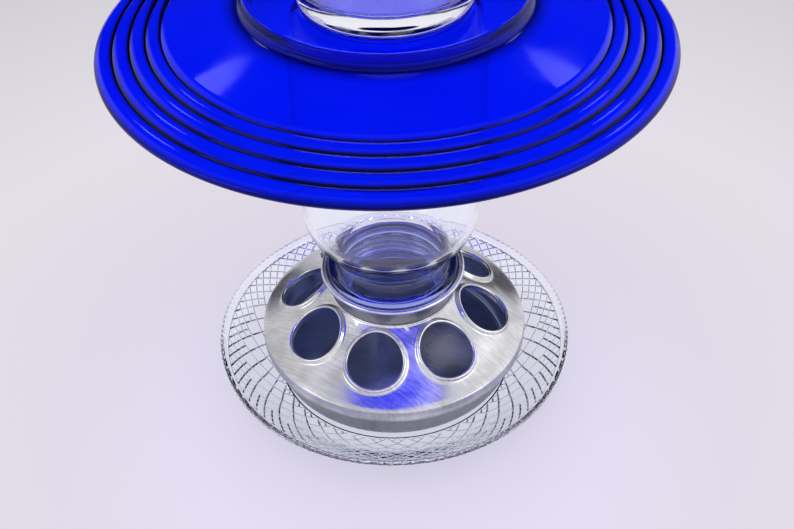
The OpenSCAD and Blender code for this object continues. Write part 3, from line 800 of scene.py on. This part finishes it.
def roof_z(r):
    """Height of the roof plate's slope between its grooves."""
    return ROOF_FLOOR + 1.8 - (r - ROOF_FOOT_R - ROOF_FOOT_W) * math.tan(math.radians(ROOF_ANGLE))


def band_start(i):
    """Outer radius of a ring of the roof plate, counted inwards; each is a little narrower than the last."""
    return ROOF_R - i * 9.0 + 0.5 * i * (i - 1) / 2


def roof_plate():
    foot_out = ROOF_FOOT_R + ROOF_FOOT_W
    crest, groove, under_r = 1.7, 1.3, 16.0
    edge_r = 1.95
    edge_x = ROOF_R - edge_r
    edge_z = roof_z(ROOF_R) - edge_r - 0.55
    start = ROOF_FOOT_R - 8
    tilt = math.radians(ROOF_ANGLE)
    span = edge_x - edge_r * math.sin(tilt) - start
    under = wall_angle(under_r, span, ROOF_UNDER - edge_z + edge_r * math.cos(tilt))
    outline = [(0, ROOF_FLOOR), (30, ROOF_FLOOR), (ROOF_FOOT_R - 1.6, ROOF_FLOOR),
               (ROOF_FOOT_R - 0.7, ROOF_FLOOR + 0.3), (ROOF_FOOT_R - 0.1, ROOF_FLOOR + 1.1),
               (ROOF_FOOT_R + 0.2, ROOF_FLOOR + 3.4)]
    outline += arc(ROOF_FOOT_R + 0.4 + crest, ROOF_FLOOR + ROOF_FOOT_H - crest, crest, 180, 0, 12)
    outline += [(foot_out - 0.3, roof_z(foot_out) + 2.6), (foot_out + 0.1, roof_z(foot_out) + 1.0),
                (foot_out + 1.0, roof_z(foot_out + 1.0) + 0.15), (foot_out + 2.2, roof_z(foot_out + 2.2))]
    step = band_start(4) - groove
    outline += [(r, roof_z(r)) for r in (foot_out + (step - foot_out) * k / 12 for k in range(1, 13))]
    for i in (3, 2, 1, 0):
        inner, outer = band_start(i + 1), band_start(i)
        for k in range(15):
            r = inner + (outer - inner) * k / 14
            if i or r < edge_x:
                outline.append((r, roof_z(r) - groove * (1 - math.sin(math.pi * k / 14) ** 0.6)))
    outline += arc(edge_x, edge_z, edge_r, 60, -90 - ROOF_ANGLE, 12)
    outline += [(start + x, ROOF_UNDER - wall_z(x, under_r, under))
                for x in (span * k / 10 for k in range(9, -1, -1))]
    plate = turned("roof_plate_glass", outline + [(0, ROOF_UNDER)], 288)
    done(plate, 50)

    def depth(co):
        """How much painted shade darkens the thick glass: the edge, the foot ring's outer wall and slope, and
        the grooves.
        """
        r = math.hypot(co.x, co.y)
        if r > edge_x + 0.5:
            return 0.85
        if foot_out - 1.2 < r < foot_out + 9 and co.z > roof_z(r) - 0.4:
            low = ROOF_FLOOR + ROOF_FOOT_H - co.z
            return min(0.55 + 0.06 * low, 0.93 * (foot_out + 9 - r) / 6.0)
        if not band_start(4) - 1 < r < ROOF_R - 4 or co.z < roof_z(r) - groove - 0.2:
            return 0
        return ((roof_z(r) - co.z) / groove - 0.12) / 0.45

    # the groove attribute places the painted shade
    mark(plate, "groove", depth)
    return finished(plate, "cobalt_glass", "jar", "roof_plate")


def top_dish():
    foot = DISH_R - 3
    heel_z = DISH_Z + 6
    rim = DISH_WALL / 2
    outline = [(0, DISH_Z + 1), (foot - 9.5, DISH_Z + 1), (foot - 8.5, DISH_Z + 1), (foot - 4.2, DISH_Z + 1),
               (foot - 3.6, DISH_Z + 0.7), (foot - 3, DISH_Z)]
    outline += [(foot + 3 * math.sin(math.radians(a)), heel_z - 6 * math.cos(math.radians(a)))
                for a in range(0, 91, 9)]
    top = (DISH_R + 3 - rim, DISH_Z + DISH_H - rim)
    outline += [(DISH_R + 3 * k / 5, heel_z + (top[1] - heel_z) * k / 5) for k in range(1, 5)]
    outline += arc(*top, rim, 0, 180, 10)
    outline += arc(DISH_R - DISH_WALL - 5, DISH_Z + DISH_BASE + 5, 5, 0, -90, 9) + [(0, DISH_Z + DISH_BASE)]
    dish = turned("top_dish_glass", outline, 160)
    done(dish, 45)

    def heel_ring(co):
        return 1.0 if co.z < DISH_Z + 1.4 and math.hypot(co.x, co.y) > foot - 9 else 0.0

    mark(dish, "stipple", heel_ring)
    return finished(dish, "dish_glass", "jar", "top_dish")


base_plate()
feeder_pan()
feeder_lid()
jar_collar()
glass_jar()
roof_plate()
top_dish()
for name in ("jar_bond", "dish_bond"):
    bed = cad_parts[name]
    bed.data.materials.clear()
    bed.data.materials.append(FINISHES["clear_adhesive"])


# ---------------------------------------------------------------- floor, light and camera

def seen_background(tree):
    """1 for the camera's rays and for what gloss and glass show, 0 for the light that falls on things."""
    path = tree.nodes.new("ShaderNodeLightPath")
    total = None
    for name in ("Is Camera Ray", "Is Glossy Ray", "Is Transmission Ray"):
        if total is None:
            total = path.outputs[name]
            continue
        n = tree.nodes.new("ShaderNodeMath")
        n.operation = "MAXIMUM"
        tree.links.new(total, n.inputs[0])
        tree.links.new(path.outputs[name], n.inputs[1])
        total = n.outputs[0]
    return total


# distances in metres with their colours, and the share of the floor's own glow, plain and seen through glass
# the tones hold painted light: bluer near the feeder for the roof plate's blue light, darker further out as
# painted shade
FLOOR_TONES = ((0.12, (0.80, 0.76, 0.905)), (0.19, (0.75, 0.705, 0.80)), (0.27, (0.735, 0.70, 0.765)),
               (0.36, (0.745, 0.71, 0.765)), (0.68, (0.61, 0.59, 0.63)), (1.0, (0.66, 0.645, 0.68)))
FLOOR_GLOW, FLOOR_GLOW_THROUGH = 0.68, 0.77


def floor():
    """A pale floor, with painted blue light near the feeder and painted shade further out. Its tone follows the
    distance from the middle.
    """
    deselect()
    bpy.ops.mesh.primitive_circle_add(vertices=96, radius=3.0, fill_type="NGON", location=(0, 0, -0.0004))
    ground = bpy.context.object
    ground.name = "floor"
    bpy.ops.object.transform_apply(location=True)
    f = Finish("floor")
    centred = f.node("ShaderNodeMapping")
    centred.inputs["Location"].default_value = (0, 0.05, 0)
    f.link(f.place, centred.inputs["Vector"])
    distance = f.node("ShaderNodeVectorMath")
    distance.operation = "LENGTH"
    f.link(centred.outputs["Vector"], distance.inputs[0])
    # painted blue light near the feeder, painted shade further out
    colour = f.shades(distance.outputs["Value"], *FLOOR_TONES)
    f.link(colour, f.shader.inputs["Base Color"])
    f.set(Roughness=0.8, Specular_IOR_Level=0.1)
    through = f.node("ShaderNodeLightPath").outputs["Is Transmission Ray"]
    seen = f.node("ShaderNodeMix", data_type="RGBA")
    f.link(through, seen.inputs["Factor"])
    f.link(colour, seen.inputs[6])
    seen.inputs[7].default_value = (0.92, 0.91, 1.0, 1)
    glow = f.node("ShaderNodeEmission")
    f.link(seen.outputs[2], glow.inputs["Color"])
    mix = f.node("ShaderNodeMixShader")
    share = f.math("MAXIMUM", f.math("MULTIPLY", seen_background(f.tree), FLOOR_GLOW),
                   f.math("MULTIPLY", through, FLOOR_GLOW_THROUGH))
    f.link(share, mix.inputs["Fac"])
    f.link(f.shader.outputs["BSDF"], mix.inputs[1])
    f.link(glow.outputs["Emission"], mix.inputs[2])
    f.link(mix.outputs["Shader"], f.output.inputs["Surface"])
    ground.data.materials.append(f.material)


def lamp(name, place, aim, size, power, glossy=False):
    """A round soft lamp that the camera doesn't see."""
    light = bpy.data.lights.new(name, "AREA")
    light.shape, light.size, light.energy = "DISK", size, power
    holder = bpy.data.objects.new(name, light)
    bpy.context.scene.collection.objects.link(holder)
    holder.location = place
    holder.rotation_euler = (Vector(aim) - Vector(place)).to_track_quat("-Z", "Y").to_euler()
    holder.visible_glossy = glossy
    holder.visible_camera = False
    return holder


# the surroundings' colour, and the level of the dark screen that only gloss mirrors
PALE, DARK = (0.92, 0.905, 0.95), 0.03


def studio():
    """Pale surroundings. What gloss mirrors has a dark screen behind the feeder, between two pale walls, which
    keeps the roof plate's colour deep."""
    world = bpy.data.worlds.new("studio")
    bpy.context.scene.world = world
    world.use_nodes = True
    tree = world.node_tree

    def spread(source, low, high, to_low, to_high):
        n = tree.nodes.new("ShaderNodeMapRange")
        for key, value in (("From Min", low), ("From Max", high), ("To Min", to_low), ("To Max", to_high)):
            n.inputs[key].default_value = value
        tree.links.new(source, n.inputs["Value"])
        return n.outputs["Result"]

    def math_node(operation, a, b=None):
        n = tree.nodes.new("ShaderNodeMath")
        n.operation = operation
        tree.links.new(a, n.inputs[0])
        if b is not None:
            tree.links.new(b, n.inputs[1])
        return n.outputs[0]

    direction = tree.nodes.new("ShaderNodeSeparateXYZ")
    tree.links.new(tree.nodes.new("ShaderNodeTexCoord").outputs["Generated"], direction.inputs["Vector"])
    x, y = direction.outputs["X"], direction.outputs["Y"]
    walls = math_node("MAXIMUM", spread(math_node("ABSOLUTE", x), 0.54, 0.64, DARK, 1.0),
                      spread(y, 0.2, 0.02, DARK, 1.0))
    level = math_node("MULTIPLY", walls, spread(x, -0.6, 0.6, 0.68, 1.05))
    path = tree.nodes.new("ShaderNodeLightPath")
    # a ray through glass counts as glossy too, and sees the plain surroundings
    mirrored = math_node("SUBTRACT", path.outputs["Is Glossy Ray"], path.outputs["Is Transmission Ray"])
    surroundings = tree.nodes.new("ShaderNodeMix")
    surroundings.data_type = "RGBA"
    tree.links.new(mirrored, surroundings.inputs["Factor"])
    surroundings.inputs[6].default_value = (*PALE, 1)
    tree.links.new(level, surroundings.inputs[7])
    background = tree.nodes["Background"]
    tree.links.new(surroundings.outputs[2], background.inputs["Color"])
    background.inputs["Strength"].default_value = 1.0
    lamp("overhead", (0, 0.1, 1.5), (0, 0, 0.1), 1.2, 5)
    lamp("left", (-1.2, -0.6, 1.0), (0, 0, 0.1), 0.8, 2.5, glossy=True)
    lamp("right", (1.2, -0.6, 1.0), (0, 0, 0.1), 0.8, 2.5, glossy=True)
    # two small lamps behind, for gloss alone
    for name, x in (("back_left", -0.66), ("back_right", 0.66)):
        shine = lamp(name, (x, 0.90, 1.23), (x / 8, -0.07, 0.24), 0.17, 0.2, glossy=True)
        shine.visible_diffuse = shine.visible_transmission = False


# metres, millimetres and degrees
EYE, LENS, PITCH, YAW, ROLL = (0, -0.47945, 0.50187), 49.018, 41.57, 0.31, -1.2


def camera():
    """The photograph's own viewpoint, solved from its circles."""
    pitch, yaw, roll = math.radians(PITCH), math.radians(YAW), math.radians(ROLL)
    forward = Vector((math.sin(yaw) * math.cos(pitch), math.cos(yaw) * math.cos(pitch), -math.sin(pitch)))
    right = Vector((math.cos(yaw), -math.sin(yaw), 0))
    up = right.cross(forward)
    across = math.cos(roll) * right + math.sin(roll) * up
    upright = -math.sin(roll) * right + math.cos(roll) * up
    data = bpy.data.cameras.new("camera")
    data.sensor_width, data.lens = 36, LENS
    data.clip_start, data.clip_end = 0.02, 20
    holder = bpy.data.objects.new("camera", data)
    bpy.context.scene.collection.objects.link(holder)
    turn = Matrix((across, upright, -forward)).transposed()
    holder.matrix_world = Matrix.Translation(EYE) @ turn.to_4x4()
    bpy.context.scene.camera = holder


floor()
studio()
camera()
scene = bpy.context.scene
scene.view_settings.view_transform = "Standard"
scene.cycles.caustics_refractive = False
scene.cycles.max_bounces, scene.cycles.transmission_bounces = 24, 24
